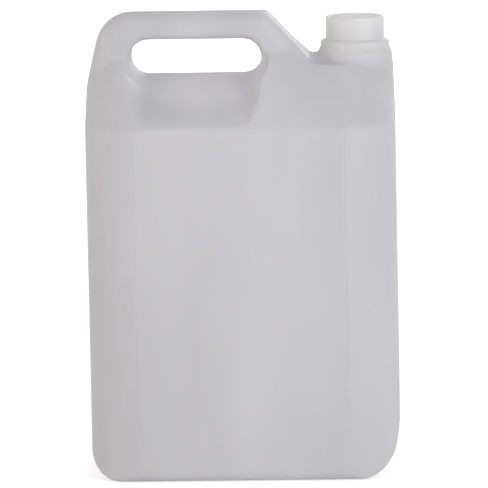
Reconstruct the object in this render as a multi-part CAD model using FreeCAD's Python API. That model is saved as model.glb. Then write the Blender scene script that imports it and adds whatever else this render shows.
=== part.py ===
import FreeCAD, Part
import math
import os

# A blow-moulded plastic jerry can of about five litres: one hollow wall with a flat body, sloping
# shoulders, a hollow handle with a finger hole, and an open neck at the other end of the top.
# Millimetres. X runs to the right, -Y is the front, Z is up. The origin is the middle of the foot.

Vec = FreeCAD.Vector

# Body
BODY_WIDTH = 190.0
BODY_DEPTH = 124.0
WALL = 1.1
CORNER_FRONT_RUN = 30.0
CORNER_SIDE_RUN = 26.0
CORNER_BEND = 17.0
CORNER_RADIUS = 33.0
CREASE_RADIUS = 5.0

# Foot
FOOT_FRONT_RADIUS = 7.0
FOOT_LEFT_RADIUS = 18.0
FOOT_RIGHT_RADIUS = 24.0
BASE_RISE = 2.0
BASE_RIM = 12.0
BASE_SLANT = 4.0
BASE_CORNER_RADIUS = 16.0

# Heights, from the top of the handle down to the deck that the neck stands on and the shoulders' edge
HANDLE_TOP = 285.0
DECK_HEIGHT = HANDLE_TOP - 31.0
SADDLE_HEIGHT = DECK_HEIGHT + 4.5
SHOULDER_HEIGHT = DECK_HEIGHT - 36.0
SHOULDER_ANGLE = 44.0
SHOULDER_RADIUS = 6.0
DECK_EDGE_RADIUS = 1.6

# Neck, set in from the right-hand end and standing on the deck
NECK_X = BODY_WIDTH / 2.0 - 23.7
NECK_TOP = DECK_HEIGHT + 27.0
NECK_RADIUS = 17.8
NECK_WALL = 2.1
NECK_RIM_RADIUS = 0.8
NECK_CREASE_RADIUS = 1.0
NECK_ROOT_DEPTH = 8.0
COLLAR_RADIUS = 23.0
COLLAR_TOP = DECK_HEIGHT + 5.8
COLLAR_EDGE_RADIUS = 1.0
BEAD_RADIUS = 20.9
BEAD_BOTTOM = COLLAR_TOP + 2.4
BEAD_TOP = BEAD_BOTTOM + 4.7
BEAD_EDGE_RADIUS = 1.9

# Handle, which leans in at the left and slopes down towards the neck at the right
HANDLE_DEPTH = 34.0
HANDLE_EDGE_RADIUS = 10.0
HANDLE_LEAN_START = HANDLE_TOP - 42.0
HANDLE_LEAN = 13.5
HANDLE_LEAN_RADIUS = 60.0
HANDLE_LEFT_RADIUS = 22.0
HANDLE_RIGHT_END = NECK_X - 53.9
HANDLE_RIGHT_RADIUS = 4.0
HANDLE_SLOPE = 47.3

# Finger hole through the handle, and the scoops that fall away from its lower edge, front and back
HOLE_LEFT = 27.4 - BODY_WIDTH / 2.0
HOLE_RIGHT = HANDLE_RIGHT_END - 4.0
HOLE_TOP = HANDLE_TOP - 16.0
HOLE_BOTTOM = HOLE_TOP - 22.5
HOLE_EDGE_RADIUS = 4.5
SCOOP_START = 8.0
SCOOP_FLOOR_ANGLE = 27.0
SCOOP_DRAFT = 14.0

# How far a cutting or joining solid runs past what it meets, and a length too short to draw
REACH = 20.0
TINY = 0.001


def front_point(u, v):
    """A point of an outline drawn as seen from the front."""
    return Vec(u, 0.0, v)


def side_point(u, v):
    """A point of an outline drawn as seen from the right-hand end."""
    return Vec(0.0, u, v)


def plan_point(u, v):
    """A point of an outline drawn as seen from above."""
    return Vec(u, v, 0.0)


def heading_and_turn(corners, index):
    """The direction in which an outline reaches a corner, and the angle it turns there, left positive."""
    before = corners[index - 1]
    corner = corners[index]
    after = corners[(index + 1) % len(corners)]
    heading = math.atan2(corner[1] - before[1], corner[0] - before[0])
    leaving = math.atan2(after[1] - corner[1], after[0] - corner[0])
    return heading, math.remainder(leaving - heading, 2.0 * math.pi)


def inset_corners(corners, inset):
    """Moves every side of a counter-clockwise outline inwards, and its corner radii with it."""
    moved = []
    for index, (u, v, radius) in enumerate(corners):
        heading, turn = heading_and_turn(corners, index)
        slide = inset * math.tan(turn / 2.0)
        moved.append((
            u - inset * math.sin(heading) - slide * math.cos(heading),
            v + inset * math.cos(heading) - slide * math.sin(heading),
            radius - math.copysign(inset, turn),
        ))
    return moved


def outline_face(corners, place):
    """A flat face inside a counter-clockwise outline, each corner given as (u, v, radius)."""
    arcs = []
    for index, (u, v, radius) in enumerate(corners):
        heading, turn = heading_and_turn(corners, index)
        side = math.copysign(radius, turn)
        tangent = side * math.tan(turn / 2.0)
        centre_u = u - tangent * math.cos(heading) - side * math.sin(heading)
        centre_v = v - tangent * math.sin(heading) + side * math.cos(heading)
        arc = []
        for share in (0.0, 0.5, 1.0):
            spoke = heading + share * turn
            arc.append(place(centre_u + side * math.sin(spoke), centre_v - side * math.cos(spoke)))
        arcs.append(arc)
    edges = []
    for index, (first, middle, last) in enumerate(arcs):
        before = arcs[index - 1][2]
        if before.distanceToPoint(first) > TINY:
            edges.append(Part.LineSegment(before, first).toShape())
        if first.distanceToPoint(last) > TINY:
            edges.append(Part.Arc(first, middle, last).toShape())
    return Part.Face(Part.Wire(edges))


def extruded(corners, half_depth):
    """A slab of the outline seen from the front, as far behind the middle as before it."""
    face = outline_face(corners, front_point)
    face.translate(Vec(0.0, -half_depth, 0.0))
    return face.extrude(Vec(0.0, 2.0 * half_depth, 0.0))


def turned(corners):
    """A round solid about the neck's axis, from its outline given as radius and height."""
    solid = outline_face(corners, front_point).revolve(Vec(0.0, 0.0, 0.0), Vec(0.0, 0.0, 1.0), 360.0)
    solid.translate(Vec(NECK_X, 0.0, 0.0))
    return solid


def body_plan():
    """The body seen from above: flat faces, and crowned corners that meet them at a soft crease."""
    half_width = BODY_WIDTH / 2.0
    half_depth = BODY_DEPTH / 2.0
    slant = math.tan(math.radians(CORNER_BEND))
    share = slant / (1.0 - slant * slant)
    knee_x = half_width - share * (CORNER_SIDE_RUN - slant * CORNER_FRONT_RUN)
    knee_y = share * (CORNER_FRONT_RUN - slant * CORNER_SIDE_RUN) - half_depth
    right_front = [
        (half_width - CORNER_FRONT_RUN, -half_depth, CREASE_RADIUS),
        (knee_x, knee_y, CORNER_RADIUS),
        (half_width, CORNER_SIDE_RUN - half_depth, CREASE_RADIUS),
    ]
    right_back = [(u, -v, radius) for u, v, radius in reversed(right_front)]
    left_back = [(-u, -v, radius) for u, v, radius in right_front]
    left_front = [(-u, v, radius) for u, v, radius in reversed(right_front)]
    return right_front + right_back + left_back + left_front


def handle_outline(landing):
    """The handle seen from the front, from where its slope lands at that height to its left side."""
    half_width = BODY_WIDTH / 2.0
    lean_run = (HANDLE_TOP - HANDLE_LEAN_START) * math.tan(math.radians(HANDLE_LEAN))
    slope_run = (HANDLE_TOP - landing) / math.tan(math.radians(HANDLE_SLOPE))
    return [
        (HANDLE_RIGHT_END + slope_run, landing, DECK_EDGE_RADIUS),
        (HANDLE_RIGHT_END, HANDLE_TOP, HANDLE_RIGHT_RADIUS),
        (lean_run - half_width, HANDLE_TOP, HANDLE_LEFT_RADIUS),
        (-half_width, HANDLE_LEAN_START, HANDLE_LEAN_RADIUS),
    ]


def front_outline():
    """The whole can seen from the front, without its neck."""
    half_width = BODY_WIDTH / 2.0
    foot = [
        (-half_width, 0.0, FOOT_LEFT_RADIUS),
        (half_width, 0.0, FOOT_RIGHT_RADIUS),
        (half_width, DECK_HEIGHT, DECK_EDGE_RADIUS),
    ]
    return foot + handle_outline(DECK_HEIGHT)


def side_outline():
    """The body seen from the end, with its front and back foot edges, drawn up past its top."""
    half_depth = BODY_DEPTH / 2.0
    above = HANDLE_TOP + REACH
    return [
        (-half_depth, 0.0, FOOT_FRONT_RADIUS),
        (half_depth, 0.0, FOOT_FRONT_RADIUS),
        (half_depth, above, FOOT_FRONT_RADIUS),
        (-half_depth, above, FOOT_FRONT_RADIUS),
    ]


def shoulder_sweep(inset, lean):
    """The plan carried straight up, then round the shoulder's bend and on up its slope.

    A lean of 1 makes the front shoulder, which falls back towards +Y, and -1 the back one.
    """
    slope = math.radians(SHOULDER_ANGLE)
    turn = math.pi / 2.0 - slope
    radius = SHOULDER_RADIUS - inset
    tangent = radius * math.tan(turn / 2.0)
    crease = SHOULDER_HEIGHT - inset * math.tan(turn / 2.0)
    climb = HANDLE_TOP + REACH - crease
    start = Vec(0.0, 0.0, -REACH)
    bend_start = Vec(0.0, 0.0, crease - tangent)
    bend_out = lean * radius * (1.0 - math.cos(turn / 2.0))
    bend_middle = bend_start + Vec(0.0, bend_out, radius * math.sin(turn / 2.0))
    bend_end = Vec(0.0, lean * tangent * math.cos(slope), crease + tangent * math.sin(slope))
    slope_end = Vec(0.0, lean * climb / math.tan(slope), crease + climb)
    spine = Part.Wire([
        Part.LineSegment(start, bend_start).toShape(),
        Part.Arc(bend_start, bend_middle, bend_end).toShape(),
        Part.LineSegment(bend_end, slope_end).toShape(),
    ])
    plan = outline_face(inset_corners(body_plan(), inset), plan_point).OuterWire
    plan.translate(start)
    sweep = Part.BRepOffsetAPI.MakePipeShell(spine)
    sweep.setTrihedronMode(start, Vec(0.0, 0.0, 1.0))
    sweep.add(plan)
    sweep.build()
    sweep.makeSolid()
    return sweep.shape()


def hole_outline(grow):
    """The finger hole seen from the front: a slot with round ends."""
    radius = (HOLE_TOP - HOLE_BOTTOM) / 2.0 + grow
    left = HOLE_LEFT - grow
    right = HOLE_RIGHT + grow
    bottom = HOLE_BOTTOM - grow
    top = HOLE_TOP + grow
    return [(left, bottom, radius), (right, bottom, radius), (right, top, radius), (left, top, radius)]


def scoop_tool(inset, facing, start, top):
    """What is scooped out below the hole, so that fingers reach round the handle.

    Its outline is the hole's lower half with drafted sides, drawn up to the given top. It begins at
    the given distance from the middle and slides outwards and down. Facing is -1 in front and 1 behind.
    """
    radius = (HOLE_TOP - HOLE_BOTTOM) / 2.0
    fall = math.tan(math.radians(SCOOP_FLOOR_ANGLE))
    draft = math.tan(math.radians(SCOOP_DRAFT))
    narrow = radius * draft
    widen = (top - HOLE_BOTTOM) * draft - narrow
    corners = [
        (HOLE_LEFT + narrow, HOLE_BOTTOM, radius),
        (HOLE_RIGHT - narrow, HOLE_BOTTOM, radius),
        (HOLE_RIGHT + widen, top, 0.0),
        (HOLE_LEFT - widen, top, 0.0),
    ]
    grown = [(u, v, max(turn_radius, 0.0)) for u, v, turn_radius in inset_corners(corners, -inset)]
    face = outline_face(grown, front_point)
    face.translate(Vec(0.0, facing * (start - inset), (SCOOP_START - start + inset) * fall))
    return face.extrude(Vec(0.0, facing * BODY_DEPTH, -BODY_DEPTH * fall))


def scoop_tools(inset):
    """Both scoops through the ridge below the hole, as high as the middle of the hole."""
    middle = (HOLE_TOP + HOLE_BOTTOM) / 2.0
    return [scoop_tool(inset, facing, SCOOP_START, middle) for facing in (-1.0, 1.0)]


def shoulder_scoop_tools(inset):
    """Both scoops where they run through the shoulders beyond the handle, as high as the can."""
    return [scoop_tool(inset, facing, HANDLE_DEPTH / 2.0, HANDLE_TOP) for facing in (-1.0, 1.0)]


def base_tool(inset):
    """The shallow hollow in the underside that leaves the can standing on its rim."""
    left = FOOT_LEFT_RADIUS + BASE_RIM - BODY_WIDTH / 2.0
    right = BODY_WIDTH / 2.0 - FOOT_RIGHT_RADIUS - BASE_RIM
    half_depth = BODY_DEPTH / 2.0 - FOOT_FRONT_RADIUS - BASE_RIM
    corners = [
        (left, -half_depth, BASE_CORNER_RADIUS),
        (right, -half_depth, BASE_CORNER_RADIUS),
        (right, half_depth, BASE_CORNER_RADIUS),
        (left, half_depth, BASE_CORNER_RADIUS),
    ]
    lower = outline_face(inset_corners(corners, -inset), plan_point).OuterWire
    upper = outline_face(inset_corners(corners, BASE_SLANT - inset), plan_point).OuterWire
    upper.translate(Vec(0.0, 0.0, BASE_RISE + inset))
    return Part.makeLoft([lower, upper], True, True)


def body_form(inset):
    """The body and shoulders: what the front, side and swept plan outlines have in common."""
    side_face = outline_face(inset_corners(side_outline(), inset), side_point)
    side_face.translate(Vec(-BODY_WIDTH, 0.0, 0.0))
    form = extruded(inset_corners(front_outline(), inset), BODY_DEPTH)
    form = form.common(side_face.extrude(Vec(2.0 * BODY_WIDTH, 0.0, 0.0)))
    form = form.common(shoulder_sweep(inset, 1.0))
    form = form.common(shoulder_sweep(inset, -1.0))
    hole_room = extruded(hole_outline(HOLE_EDGE_RADIUS + inset), BODY_DEPTH)
    return form.cut([hole_room, base_tool(inset)] + shoulder_scoop_tools(inset) + scoop_tools(inset))


def edges_on_faces(shape, half_depth):
    """The edges of a shape that lie flat in its front or back face."""
    flat = [edge for edge in shape.Edges if edge.BoundBox.YLength < TINY]
    return [edge for edge in flat if abs(abs(edge.BoundBox.Center.y) - half_depth) < TINY]


def handle_form(inset):
    """The upright fin that the handle is part of, down into the shoulders and across to the neck."""
    half_depth = HANDLE_DEPTH / 2.0 - inset
    root = HANDLE_LEAN_START - REACH
    outline = [
        (-BODY_WIDTH / 2.0, root, HANDLE_EDGE_RADIUS),
        (NECK_X, root, HANDLE_EDGE_RADIUS),
        (NECK_X, SADDLE_HEIGHT, HANDLE_EDGE_RADIUS),
    ] + handle_outline(SADDLE_HEIGHT)
    fin = extruded(inset_corners(outline, inset), half_depth)
    fin = fin.makeFillet(HANDLE_EDGE_RADIUS - inset, edges_on_faces(fin, half_depth))
    fin = fin.cut(extruded(hole_outline(inset), BODY_DEPTH))
    hole_box = FreeCAD.BoundBox(
        HOLE_LEFT - WALL - TINY, -BODY_DEPTH, HOLE_BOTTOM - WALL - TINY,
        HOLE_RIGHT + WALL + TINY, BODY_DEPTH, HOLE_TOP + WALL + TINY,
    )
    mouth = [edge for edge in edges_on_faces(fin, half_depth) if hole_box.isInside(edge.BoundBox)]
    return fin.makeFillet(HOLE_EDGE_RADIUS - inset, mouth).cut(scoop_tools(inset))


def neck_form():
    """The neck's outside: a collar that grows out of the deck, a bead, and a plain upper cylinder."""
    root = DECK_HEIGHT - NECK_ROOT_DEPTH
    return turned([
        (0.0, root, 0.0),
        (COLLAR_RADIUS, root, 0.0),
        (COLLAR_RADIUS, COLLAR_TOP, COLLAR_EDGE_RADIUS),
        (BEAD_RADIUS, BEAD_BOTTOM, COLLAR_EDGE_RADIUS),
        (BEAD_RADIUS, BEAD_TOP, BEAD_EDGE_RADIUS),
        (NECK_RADIUS, BEAD_TOP, NECK_CREASE_RADIUS),
        (NECK_RADIUS, NECK_TOP, NECK_RIM_RADIUS),
        (0.0, NECK_TOP, 0.0),
    ])


def mouth_form():
    """The neck's inside: wide within the collar, then the bore, up past the rim."""
    root = DECK_HEIGHT - NECK_ROOT_DEPTH
    wide = COLLAR_RADIUS - NECK_WALL
    bore = NECK_RADIUS - NECK_WALL
    return turned([
        (0.0, root - REACH, 0.0),
        (wide, root - REACH, 0.0),
        (wide, COLLAR_TOP - NECK_WALL, NECK_WALL),
        (bore, BEAD_BOTTOM, NECK_WALL),
        (bore, NECK_TOP + REACH, 0.0),
        (0.0, NECK_TOP + REACH, 0.0),
    ])


def bottle():
    """The whole can: its outside less its inside, which is open through the neck."""
    outside = body_form(0.0).fuse([handle_form(0.0), neck_form()])
    inside = body_form(WALL).fuse([handle_form(WALL), mouth_form()])
    return outside.removeSplitter().cut(inside.removeSplitter())


os.makedirs("parts", exist_ok=True)
can = bottle()
print("valid", can.isValid(), "solids", len(can.Solids), "volume", round(can.Volume), can.BoundBox)
can.exportStep("parts/bottle.step")
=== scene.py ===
import bmesh
import bpy
import math
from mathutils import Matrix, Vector


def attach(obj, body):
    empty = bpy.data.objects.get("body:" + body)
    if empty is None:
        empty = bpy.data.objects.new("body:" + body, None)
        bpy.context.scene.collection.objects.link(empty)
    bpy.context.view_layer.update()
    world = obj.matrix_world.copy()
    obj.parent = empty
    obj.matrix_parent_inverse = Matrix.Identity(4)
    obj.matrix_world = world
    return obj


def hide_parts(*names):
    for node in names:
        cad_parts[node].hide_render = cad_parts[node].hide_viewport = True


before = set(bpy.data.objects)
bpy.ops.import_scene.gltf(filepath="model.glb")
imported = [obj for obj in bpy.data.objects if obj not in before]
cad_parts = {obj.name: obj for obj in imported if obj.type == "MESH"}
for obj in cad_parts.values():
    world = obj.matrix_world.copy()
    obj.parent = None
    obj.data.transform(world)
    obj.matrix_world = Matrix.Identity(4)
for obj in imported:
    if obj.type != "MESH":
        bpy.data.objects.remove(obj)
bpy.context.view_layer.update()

# Camera
# The can is seen from the front, a little from the right and from above, through a long lens.
# The lens leans by about a degree, so that the can tips slightly to the left.
VIEW_TARGET = Vector((0.0, 0.0, 0.142))
VIEW_AZIMUTH = math.radians(2.561)
VIEW_ELEVATION = math.radians(8.3)
VIEW_ROLL = math.radians(-1.091)
VIEW_DISTANCE = 4.15
AIM_RIGHT = 0.0002
AIM_DOWN = 0.0028
LENS_MM = 492.77
SENSOR_MM = 36.0
FARTHEST_SEEN = 30.0

view_back = Vector((
    math.sin(VIEW_AZIMUTH) * math.cos(VIEW_ELEVATION),
    -math.cos(VIEW_AZIMUTH) * math.cos(VIEW_ELEVATION),
    math.sin(VIEW_ELEVATION),
))
camera_data = bpy.data.cameras.new("front_camera")
camera_data.lens = LENS_MM
camera_data.sensor_width = SENSOR_MM
camera_data.clip_end = FARTHEST_SEEN
camera = bpy.data.objects.new("front_camera", camera_data)
bpy.context.scene.collection.objects.link(camera)
camera.location = VIEW_TARGET + VIEW_DISTANCE * view_back
aim = VIEW_TARGET + Vector((AIM_RIGHT, 0.0, -AIM_DOWN))
camera.rotation_euler = (aim - camera.location).to_track_quat("-Z", "Y").to_euler()
camera.rotation_euler.rotate_axis("Z", VIEW_ROLL)
bpy.context.scene.camera = camera

# Floor and light
# The can stands on a wide white table top in a pale room. One large soft lamp stands in front and to
# the right, near the can's own height, a weaker, warmer one on the left, and another behind.
FLOOR_HALF_WIDTH = 12.0
FLOOR_CORNERS = ((-1.0, -1.0), (1.0, -1.0), (1.0, 1.0), (-1.0, 1.0))
FLOOR_COLOUR = (0.9, 0.9, 0.9, 1.0)
FLOOR_LIFT = 0.46
ROOM_COLOUR = (1.0, 1.0, 1.0, 1.0)
ROOM_STRENGTH = 0.6
SEEN_ROOM_STRENGTH = 1.0
# Each lamp has its place, its width, its power in watts and its colour.
LAMPS = {
    "right_softbox": ((1.7, -1.7, 0.42), 1.4, 27.5, (0.96, 0.985, 1.0)),
    "left_softbox": ((-2.1, -1.0, 0.6), 1.2, 11.0, (1.0, 0.86, 0.74)),
    "back_softbox": ((0.7, 2.3, 0.9), 1.4, 14.0, (1.0, 1.0, 1.0)),
}


def joined(tree, kind, sources, output=0, **settings):
    """Adds a node, sets its choices, and feeds its inputs from other nodes' outputs or plain values."""
    node = tree.nodes.new(kind)
    for setting, value in settings.items():
        setattr(node, setting, value)
    for socket, source in sources.items():
        if isinstance(source, bpy.types.NodeSocket):
            tree.links.new(source, node.inputs[socket])
        else:
            node.inputs[socket].default_value = source
    return node if output is None else node.outputs[output]


def seen_share(tree):
    """One where the surface is looked at, straight, mirrored or through the plastic, and else zero."""
    path = tree.nodes.new("ShaderNodeLightPath")
    looked_at = joined(tree, "ShaderNodeMath", {
        0: path.outputs["Is Camera Ray"], 1: path.outputs["Is Glossy Ray"],
    }, operation="MAXIMUM")
    return joined(tree, "ShaderNodeMath", {
        0: looked_at, 1: path.outputs["Is Transmission Ray"],
    }, operation="MAXIMUM")


floor_mesh = bpy.data.meshes.new("table_top")
floor_points = [(x * FLOOR_HALF_WIDTH, y * FLOOR_HALF_WIDTH, 0.0) for x, y in FLOOR_CORNERS]
floor_mesh.from_pydata(floor_points, [], [(0, 1, 2, 3)])
floor = bpy.data.objects.new("table_top", floor_mesh)
bpy.context.scene.collection.objects.link(floor)

# To look at, the table top is lifted to the white of the room behind it. It keeps the can's shadow.
table_white = bpy.data.materials.new("table_white")
table_white.use_nodes = True
table_tree = table_white.node_tree
table_tree.nodes.clear()
paint = joined(table_tree, "ShaderNodeBsdfDiffuse", {"Color": FLOOR_COLOUR})
lift = joined(table_tree, "ShaderNodeMath", {0: seen_share(table_tree), 1: FLOOR_LIFT}, operation="MULTIPLY")
lifted = joined(table_tree, "ShaderNodeEmission", {"Strength": lift})
table_look = joined(table_tree, "ShaderNodeAddShader", {0: paint, 1: lifted})
joined(table_tree, "ShaderNodeOutputMaterial", {"Surface": table_look}, output=None)
floor_mesh.materials.append(table_white)

# The room is plain white to look at, and lights the can less strongly than that.
world = bpy.data.worlds.new("pale_room")
world.use_nodes = True
room_tree = world.node_tree
room_tree.nodes.clear()
room_strength = joined(room_tree, "ShaderNodeMapRange", {
    "Value": seen_share(room_tree), "To Min": ROOM_STRENGTH, "To Max": SEEN_ROOM_STRENGTH,
})
room = joined(room_tree, "ShaderNodeBackground", {"Color": ROOM_COLOUR, "Strength": room_strength})
joined(room_tree, "ShaderNodeOutputWorld", {"Surface": room}, output=None)
bpy.context.scene.world = world
bpy.context.scene.view_settings.view_transform = "Standard"

for name, (place, width, power, colour) in LAMPS.items():
    lamp_data = bpy.data.lights.new(name, "AREA")
    lamp_data.shape = "SQUARE"
    lamp_data.size = width
    lamp_data.energy = power
    lamp_data.color = colour
    lamp = bpy.data.objects.new(name, lamp_data)
    bpy.context.scene.collection.objects.link(lamp)
    lamp.location = place
    lamp.rotation_euler = (VIEW_TARGET - lamp.location).to_track_quat("-Z", "Y").to_euler()

# Blown wall
# The body, shoulders and handle are one bubble of natural polyethylene, blown against two mould
# halves. Its creases are rounded, because the hot wall bridges the mould's corners a little.
NECK_X = 0.0713
NECK_ZONE_LEFT = 0.045
RIM_DEPTH = 0.002
RIM_INNER_RADIUS = 0.0169
WELD = 0.00001
VOXEL = 0.0012
SOFTEN_SHARE = 0.5
SOFTEN_STEPS = 6
KEPT_SHARE = 0.26


def settled(piece):
    """Turns what a piece's modifiers make of it into its own plain mesh."""
    graph = bpy.context.evaluated_depsgraph_get()
    plain_mesh = bpy.data.meshes.new_from_object(piece.evaluated_get(graph))
    piece.modifiers.clear()
    piece.data = plain_mesh
    return plain_mesh


shell = bmesh.new()
shell.from_mesh(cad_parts["bottle"].data)
bmesh.ops.remove_doubles(shell, verts=shell.verts, dist=WELD)

# The solid's outer and inner walls meet at the neck's rim. The rim's faces go, then every point that
# the lowest one no longer reaches, which is the inner wall, and the hole that is left is closed.
rim_top = max(vert.co.z for vert in shell.verts if vert.co.x > NECK_ZONE_LEFT)
neck_axis = Vector((NECK_X, 0.0))
rim = [
    face for face in shell.faces
    if face.calc_center_median().z > rim_top - RIM_DEPTH
    and (face.calc_center_median().xy - neck_axis).length < RIM_INNER_RADIUS
]
bmesh.ops.delete(shell, geom=rim, context="FACES")
lowest = min(shell.verts, key=lambda vert: vert.co.z)
outside = {lowest}
waiting = [lowest]
while waiting:
    vert = waiting.pop()
    for edge in vert.link_edges:
        other = edge.other_vert(vert)
        if other not in outside:
            outside.add(other)
            waiting.append(other)
bmesh.ops.delete(shell, geom=[vert for vert in shell.verts if vert not in outside], context="VERTS")
bmesh.ops.holes_fill(shell, edges=[edge for edge in shell.edges if edge.is_boundary], sides=0)
wall_mesh = bpy.data.meshes.new("blown_wall")
shell.to_mesh(wall_mesh)
shell.free()

can = bpy.data.objects.new("can", wall_mesh)
bpy.context.scene.collection.objects.link(can)
fill = can.modifiers.new("fill", "REMESH")
fill.mode = "VOXEL"
fill.voxel_size = VOXEL
soften = can.modifiers.new("soften", "SMOOTH")
soften.factor = SOFTEN_SHARE
soften.iterations = SOFTEN_STEPS
thin_out = can.modifiers.new("thin_out", "DECIMATE")
thin_out.ratio = KEPT_SHARE
wall_mesh = settled(can)

# Parting line and creases
# A hair-thin ridge runs round the whole can where the two mould halves met, and a shallow groove up
# each crease between face and corner. Here the wall gets the lines of points that carry them, and
# is cut open for the neck.
SEAM_HALF_WIDTH = 0.00045
CREASE_X = 0.0647
CREASE_HALF_WIDTH = 0.0012
LINE_SIDES = (-1.0, 0.0, 1.0)
NECK_CUT_HEIGHT = 0.2626
NECK_ZONE_BOTTOM = 0.25


def cut(mesh, point, across):
    """Gives a mesh a line of points where a plane passes through it."""
    bmesh.ops.bisect_plane(
        mesh, geom=mesh.verts[:] + mesh.edges[:] + mesh.faces[:], dist=WELD, plane_co=point, plane_no=across,
    )


wall = bmesh.new()
wall.from_mesh(wall_mesh)
for side in LINE_SIDES:
    cut(wall, (0.0, side * SEAM_HALF_WIDTH, 0.0), (0.0, 1.0, 0.0))
for crease in (-CREASE_X, CREASE_X):
    for side in LINE_SIDES:
        cut(wall, (crease + side * CREASE_HALF_WIDTH, 0.0, 0.0), (1.0, 0.0, 0.0))
neck_faces = [
    face for face in wall.faces
    if face.calc_center_median().x > NECK_ZONE_LEFT and face.calc_center_median().z > NECK_ZONE_BOTTOM
]
neck_edges = list(dict.fromkeys(edge for face in neck_faces for edge in face.edges))
neck_verts = list(dict.fromkeys(vert for face in neck_faces for vert in face.verts))
bmesh.ops.bisect_plane(
    wall, geom=neck_verts + neck_edges + neck_faces, dist=WELD,
    plane_co=(0.0, 0.0, NECK_CUT_HEIGHT), plane_no=(0.0, 0.0, 1.0), clear_outer=True,
)
bmesh.ops.triangulate(wall, faces=wall.faces[:])
wall.to_mesh(wall_mesh)
wall.free()

# Wall skin
# The blown wall is about a millimetre thick. Its outside is never quite flat: it sank a little as it
# cooled, in shallow swells that are longer upright than across, as the hot tube was drawn down.
SKIN_SIZES = {
    "Wall thickness": 0.0011,
    "Sink depth": 0.0004,
    "Swell width": 0.045,
    "Swell height": 0.16,
    "Seam height": 0.00028,
    "Seam half width": SEAM_HALF_WIDTH,
    "Seam hollow": 0.0003,
    "Seam hollow width": 0.012,
    "Floor fade": 0.001,
    "Crease depth": 0.0003,
    "Crease half width": CREASE_HALF_WIDTH,
    "Crease bottom": 0.02,
    "Crease top": 0.238,
    "Crease fade": 0.03,
    "Neck radius": 0.0235,
    "Neck fade": 0.004,
}
SWELL_SEED = 4.0
SWELL_DETAIL = 1.0

skin_tree = bpy.data.node_groups.new("wall_skin", "GeometryNodeTree")
skin_tree.interface.new_socket("Geometry", in_out="INPUT", socket_type="NodeSocketGeometry")
skin_tree.interface.new_socket("Geometry", in_out="OUTPUT", socket_type="NodeSocketGeometry")
for name in SKIN_SIZES:
    skin_tree.interface.new_socket(name, in_out="INPUT", socket_type="NodeSocketFloat")
skin_tree.interface.new_socket("Plastic", in_out="INPUT", socket_type="NodeSocketMaterial")
skin_in = skin_tree.nodes.new("NodeGroupInput").outputs
skin_out = skin_tree.nodes.new("NodeGroupOutput")
wall_place = joined(skin_tree, "GeometryNodeInputPosition", {})
wall_facing = joined(skin_tree, "GeometryNodeInputNormal", {})
wall_x, wall_y, wall_z = joined(skin_tree, "ShaderNodeSeparateXYZ", {0: wall_place}, output=None).outputs


def worked(operation, first, second=0.0, clamp=False):
    """One sum in the wall's skin."""
    return joined(skin_tree, "ShaderNodeMath", {0: first, 1: second}, operation=operation, use_clamp=clamp)


def near(distance, width):
    """One at no distance, falling evenly to zero at the width."""
    return worked("SUBTRACT", 1.0, worked("DIVIDE", distance, width), clamp=True)


def past(distance, width):
    """Zero at no distance, rising evenly to one at the width."""
    return worked("DIVIDE", distance, width, clamp=True)


def moved_out(distance):
    """The wall's faces, each point moved out along its normal."""
    offset = joined(skin_tree, "ShaderNodeVectorMath", {
        0: wall_facing, "Scale": distance,
    }, operation="SCALE")
    return joined(skin_tree, "GeometryNodeSetPosition", {"Geometry": skin_in["Geometry"], "Offset": offset})


swell_place = joined(skin_tree, "ShaderNodeCombineXYZ", {
    0: worked("DIVIDE", wall_x, skin_in["Swell width"]),
    1: worked("DIVIDE", wall_y, skin_in["Swell width"]),
    2: worked("DIVIDE", wall_z, skin_in["Swell height"]),
})
swell = joined(skin_tree, "ShaderNodeTexNoise", {
    "Vector": swell_place, "W": SWELL_SEED, "Scale": 1.0, "Detail": SWELL_DETAIL,
}, noise_dimensions="4D")
sink = worked("MULTIPLY", swell, skin_in["Sink depth"])

# Beside the parting line the wall lies a little lower, so that the ridge keeps to the can's size.
from_seam = worked("ABSOLUTE", wall_y)
hollow = worked("MULTIPLY", near(from_seam, skin_in["Seam hollow width"]), skin_in["Seam hollow"])
off_floor = past(wall_z, skin_in["Floor fade"])
seam_share = worked("MULTIPLY", near(from_seam, skin_in["Seam half width"]), off_floor)
ridge = worked("MULTIPLY", seam_share, skin_in["Seam height"])

from_crease = worked("ABSOLUTE", worked("SUBTRACT", worked("ABSOLUTE", wall_x), CREASE_X))
above_bottom = past(worked("SUBTRACT", wall_z, skin_in["Crease bottom"]), skin_in["Crease fade"])
below_top = past(worked("SUBTRACT", skin_in["Crease top"], wall_z), skin_in["Crease fade"])
crease_run = worked("MULTIPLY", above_bottom, below_top)
crease_share = worked("MULTIPLY", near(from_crease, skin_in["Crease half width"]), crease_run)
groove = worked("MULTIPLY", crease_share, skin_in["Crease depth"])

# Nothing is pulled in at the neck, where the wall meets the round finish.
from_axis_x = worked("SUBTRACT", wall_x, NECK_X)
from_axis = worked("SQRT", worked("ADD", worked("POWER", from_axis_x, 2.0), worked("POWER", wall_y, 2.0)))
beside_neck = past(worked("SUBTRACT", from_axis, skin_in["Neck radius"]), skin_in["Neck fade"])
below_neck = past(worked("SUBTRACT", NECK_CUT_HEIGHT, wall_z), skin_in["Neck fade"])
off_neck = worked("MAXIMUM", beside_neck, below_neck)
pulled_in = worked("MULTIPLY", worked("ADD", worked("ADD", sink, hollow), groove), off_neck)

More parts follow.
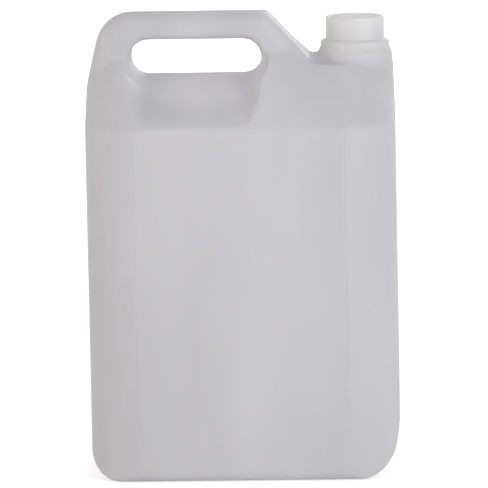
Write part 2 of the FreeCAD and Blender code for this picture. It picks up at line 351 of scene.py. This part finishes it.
outer = moved_out(worked("SUBTRACT", ridge, pulled_in))
inner = moved_out(worked("MULTIPLY", skin_in["Wall thickness"], -1.0))
inner = joined(skin_tree, "GeometryNodeFlipFaces", {"Mesh": inner})
both = skin_tree.nodes.new("GeometryNodeJoinGeometry")
skin_tree.links.new(inner, both.inputs[0])
skin_tree.links.new(outer, both.inputs[0])
both_real = joined(skin_tree, "GeometryNodeRealizeInstances", {"Geometry": both.outputs[0]})
moulded = joined(skin_tree, "GeometryNodeSetMaterial", {
    "Geometry": both_real, "Material": skin_in["Plastic"],
})
skin_tree.links.new(moulded, skin_out.inputs[0])

# Natural polyethylene
# High-density polyethylene without pigment: milky and a little see-through, with a satin skin from
# the blasted mould. It is whiter in the neck, which is twice as thick. Below the handle it carries
# painted light that lightens the shade there, and a broad painted highlight makes the middle of each
# face lighter and its corners greyer.
WALL_COLOUR = (0.818, 0.814, 0.832, 1.0)
NECK_COLOUR = (0.88, 0.875, 0.88, 1.0)
NECK_MIDDLE = (NECK_X, 0.0, 0.268)
NECK_WHITE_RADIUS = 0.0228
NECK_WHITE_END = 0.0262
# Painted highlight: the faces are painted lighter in their middle and darker towards the corners.
HIGHLIGHT_MIDDLE = 0.005
HIGHLIGHT_HALF_WIDTH = 0.02
HIGHLIGHT_TONE = 1.01
SHADE_HALF_WIDTH = 0.06
SHADE_TONE = 0.965
# Painted light: the wall below the handle is painted lighter, against the shade that falls there.
SCOOP_LIGHT_CENTRE = (-0.027, 0.0, 0.243)
SCOOP_LIGHT_REACH = (0.052, 0.055, 0.022)
SCOOP_LIGHT_FULL = 0.6
SCOOP_LIGHT_END = 1.2
SCOOP_LIGHT_TONE = 1.11
CLOUD_SCALE = (26.0, 26.0, 5.0)
CLOUD_DETAIL = 3.0
CLOUD_LOW = 0.3
CLOUD_HIGH = 0.7
CLOUD_DARK_TONE = 0.96
CLOUD_LIGHT_TONE = 1.03
SATIN = 0.42
SATIN_CHANGE = 0.05
GRAIN_SCALE = 1400.0
GRAIN_DETAIL = 2.0
GRAIN_STRENGTH = 0.12
GRAIN_DEPTH = 0.0001
PLASTIC_IOR = 1.54
LIGHT_THROUGH = 0.5

plastic = bpy.data.materials.new("natural_polyethylene")
plastic.use_nodes = True
plastic_tree = plastic.node_tree
plastic_tree.nodes.clear()
spot = plastic_tree.nodes.new("ShaderNodeTexCoord").outputs["Object"]


def measured(operation, first, second, output=0):
    """One sum with places in the plastic. A distance between them comes out at output 1."""
    return joined(plastic_tree, "ShaderNodeVectorMath", {0: first, 1: second}, output, operation=operation)


def ranged(value, start, end, first, last, way="LINEAR"):
    """Goes from first to last as the value goes from start to end."""
    return joined(plastic_tree, "ShaderNodeMapRange", {
        "Value": value, "From Min": start, "From Max": end, "To Min": first, "To Max": last,
    }, interpolation_type=way)


from_neck = measured("DISTANCE", spot, NECK_MIDDLE, 1)
neck_share = ranged(from_neck, NECK_WHITE_RADIUS, NECK_WHITE_END, 1.0, 0.0)
tone = joined(plastic_tree, "ShaderNodeMix", {
    "Factor": neck_share, 6: WALL_COLOUR, 7: NECK_COLOUR,
}, output=2, data_type="RGBA")

# The broad painted highlight across the faces, lighter in the middle and darker towards the corners.
spot_x = joined(plastic_tree, "ShaderNodeSeparateXYZ", {0: spot})
from_middle_x = joined(plastic_tree, "ShaderNodeMath", {0: spot_x, 1: HIGHLIGHT_MIDDLE}, operation="SUBTRACT")
from_middle = joined(plastic_tree, "ShaderNodeMath", {0: from_middle_x}, operation="ABSOLUTE")
face_highlight_tone = ranged(from_middle, HIGHLIGHT_HALF_WIDTH, SHADE_HALF_WIDTH, HIGHLIGHT_TONE, SHADE_TONE, "SMOOTHSTEP")

# Painted light below the handle, lightening the shade under it.
scoop_light_place = measured("DIVIDE", measured("SUBTRACT", spot, SCOOP_LIGHT_CENTRE), SCOOP_LIGHT_REACH)
from_scoop_light = joined(plastic_tree, "ShaderNodeVectorMath", {0: scoop_light_place}, output=1, operation="LENGTH")
scoop_light_tone = ranged(from_scoop_light, SCOOP_LIGHT_FULL, SCOOP_LIGHT_END, SCOOP_LIGHT_TONE, 1.0, "SMOOTHSTEP")

cloud_place = joined(plastic_tree, "ShaderNodeMapping", {"Vector": spot, "Scale": CLOUD_SCALE})
cloud = joined(plastic_tree, "ShaderNodeTexNoise", {
    "Vector": cloud_place, "Scale": 1.0, "Detail": CLOUD_DETAIL,
})
cloud_tone = ranged(cloud, CLOUD_LOW, CLOUD_HIGH, CLOUD_DARK_TONE, CLOUD_LIGHT_TONE)
gloss = ranged(cloud, CLOUD_LOW, CLOUD_HIGH, SATIN - SATIN_CHANGE, SATIN + SATIN_CHANGE)

# The painted highlight and the painted light below the handle together, then the random clouds.
painted_light_tone = joined(plastic_tree, "ShaderNodeMath", {0: face_highlight_tone, 1: scoop_light_tone}, operation="MULTIPLY")
all_tones = joined(plastic_tree, "ShaderNodeMath", {0: painted_light_tone, 1: cloud_tone}, operation="MULTIPLY")
milky = joined(plastic_tree, "ShaderNodeVectorMath", {0: tone, "Scale": all_tones}, operation="SCALE")
grain = joined(plastic_tree, "ShaderNodeTexNoise", {
    "Vector": spot, "Scale": GRAIN_SCALE, "Detail": GRAIN_DETAIL,
})
grain_bump = joined(plastic_tree, "ShaderNodeBump", {
    "Height": grain, "Strength": GRAIN_STRENGTH, "Distance": GRAIN_DEPTH,
})
surface = joined(plastic_tree, "ShaderNodeBsdfPrincipled", {
    "Base Color": milky, "Roughness": gloss, "Normal": grain_bump, "IOR": PLASTIC_IOR,
})
glowing = joined(plastic_tree, "ShaderNodeBsdfTranslucent", {"Color": milky})
blend = joined(plastic_tree, "ShaderNodeMixShader", {0: LIGHT_THROUGH, 1: surface, 2: glowing})
joined(plastic_tree, "ShaderNodeOutputMaterial", {"Surface": blend}, output=None)

skin = can.modifiers.new("skin", "NODES")
skin.node_group = skin_tree
for item in skin_tree.interface.items_tree:
    if item.in_out == "INPUT" and item.name in SKIN_SIZES:
        skin[item.identifier] = SKIN_SIZES[item.name]
    elif item.in_out == "INPUT" and item.name == "Plastic":
        skin[item.identifier] = plastic
wall_mesh = settled(can)

# Neck finish
# The top of the neck was shaped by steel on both sides, not blown, so its bead, plain wall, rim and
# bore are round and crisp. It is of one piece with the wall, and its mouth stands open.
NECK_STEPS = 96
CORNER_STEPS = 5
RIDGE_FROM_RADIUS = 0.0177
BETWEEN_LOOPS = 0.0202
# Each corner has its distance from the neck's axis, its height and its rounding.
NECK_PROFILE = [
    (0.0209, 0.2630, 0.0),
    (0.0209, 0.2669, 0.0019),
    (0.0178, 0.2669, 0.0010),
    (0.0178, 0.2810, 0.0008),
    (0.0157, 0.2810, 0.0008),
    (0.0157, 0.2660, 0.0040),
    (0.0196, 0.2630, 0.0),
]


def rounded(corners, steps):
    """The points of an open outline of (radius, height, rounding), with an arc in each inner corner."""
    points = [Vector(corners[0][:2])]
    for before, corner, after in zip(corners, corners[1:], corners[2:]):
        here = Vector(corner[:2])
        back = (Vector(before[:2]) - here).normalized()
        ahead = (Vector(after[:2]) - here).normalized()
        half_angle = 0.5 * back.angle(ahead)
        centre = here + (back + ahead).normalized() * corner[2] / math.sin(half_angle)
        first = here + back * corner[2] / math.tan(half_angle) - centre
        last = here + ahead * corner[2] / math.tan(half_angle) - centre
        for step in range(steps + 1):
            share = step / steps
            points.append(centre + first.lerp(last, share).normalized() * corner[2])
    points.append(Vector(corners[-1][:2]))
    return points


whole = bmesh.new()
whole.from_mesh(wall_mesh)
open_edges = [edge for edge in whole.edges if edge.is_boundary]
rings = []
for radius, height in rounded(NECK_PROFILE, CORNER_STEPS):
    ring = []
    for step in range(NECK_STEPS):
        angle = 2.0 * math.pi * step / NECK_STEPS
        on_seam = step in (0, NECK_STEPS // 2) and radius > RIDGE_FROM_RADIUS
        reach = radius + (SKIN_SIZES["Seam height"] if on_seam else 0.0)
        ring.append(whole.verts.new((NECK_X + reach * math.cos(angle), reach * math.sin(angle), height)))
    rings.append(ring)
for lower, upper in zip(rings, rings[1:]):
    for step in range(NECK_STEPS):
        after = (step + 1) % NECK_STEPS
        whole.faces.new((lower[step], lower[after], upper[after], upper[step]))
whole.normal_update()
# The open edges of the outer and the inner wall are joined to the first ring and the last one.
wide = [edge for edge in open_edges if (edge.verts[0].co.xy - neck_axis).length > BETWEEN_LOOPS]
narrow = [edge for edge in open_edges if edge not in wide]
for loop, ring in ((wide, rings[0]), (narrow, rings[-1])):
    ring_edges = [whole.edges.get((ring[step - 1], ring[step])) for step in range(NECK_STEPS)]
    bmesh.ops.bridge_loops(whole, edges=loop + ring_edges)
bmesh.ops.recalc_face_normals(whole, faces=whole.faces[:])
for face in whole.faces:
    face.material_index = 0
whole.to_mesh(wall_mesh)
whole.free()
wall_mesh.materials.clear()
wall_mesh.materials.append(plastic)
wall_mesh.shade_smooth()

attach(can, "root")
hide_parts("bottle")
